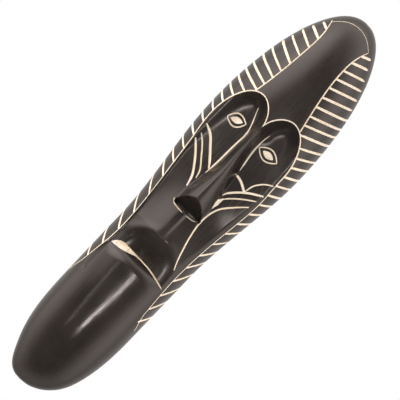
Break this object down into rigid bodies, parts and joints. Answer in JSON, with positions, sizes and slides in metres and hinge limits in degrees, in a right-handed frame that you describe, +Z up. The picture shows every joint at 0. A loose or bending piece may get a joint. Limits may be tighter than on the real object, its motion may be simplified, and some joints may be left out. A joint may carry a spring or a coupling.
{
  "type": "carved wooden wall mask",
  "caption": "Long narrow carved wooden wall mask with incised side hatching, a hollowed back and a swinging ring hanger.",
  "frame": {"origin": "on the flat back plane, at the height where a wall hook carries the raised hanger ring", "axes": "+Z up the mask towards the top of the head, +Y out of the back towards the wall, the face looks towards -Y, +X to the viewer's right"},
  "size_m": [0.0952, 0.051, 0.4],
  "materials": {
    "stained_wood": "black stain and wax over carved pale wood, satin",
    "zinc_steel": "zinc plated sheet steel, slightly dulled",
    "ring_steel": "nickel plated wire",
    "screw_brass": "brass plated"
  },
  "bodies": {
    "mask": {"mask_body": "stained_wood", "hanger_strap": "zinc_steel", "hanger_screw_1": "screw_brass", "hanger_screw_2": "screw_brass"},
    "ring": {"hanger_ring": "ring_steel"}
  },
  "joints": [
    {"name": "ring_swing", "type": "hinge", "parent": "mask", "child": "ring", "pos_m": [0, -0.003, -0.012], "axis": [1, 0, 0], "range_deg": [0, 180]}
  ]
}
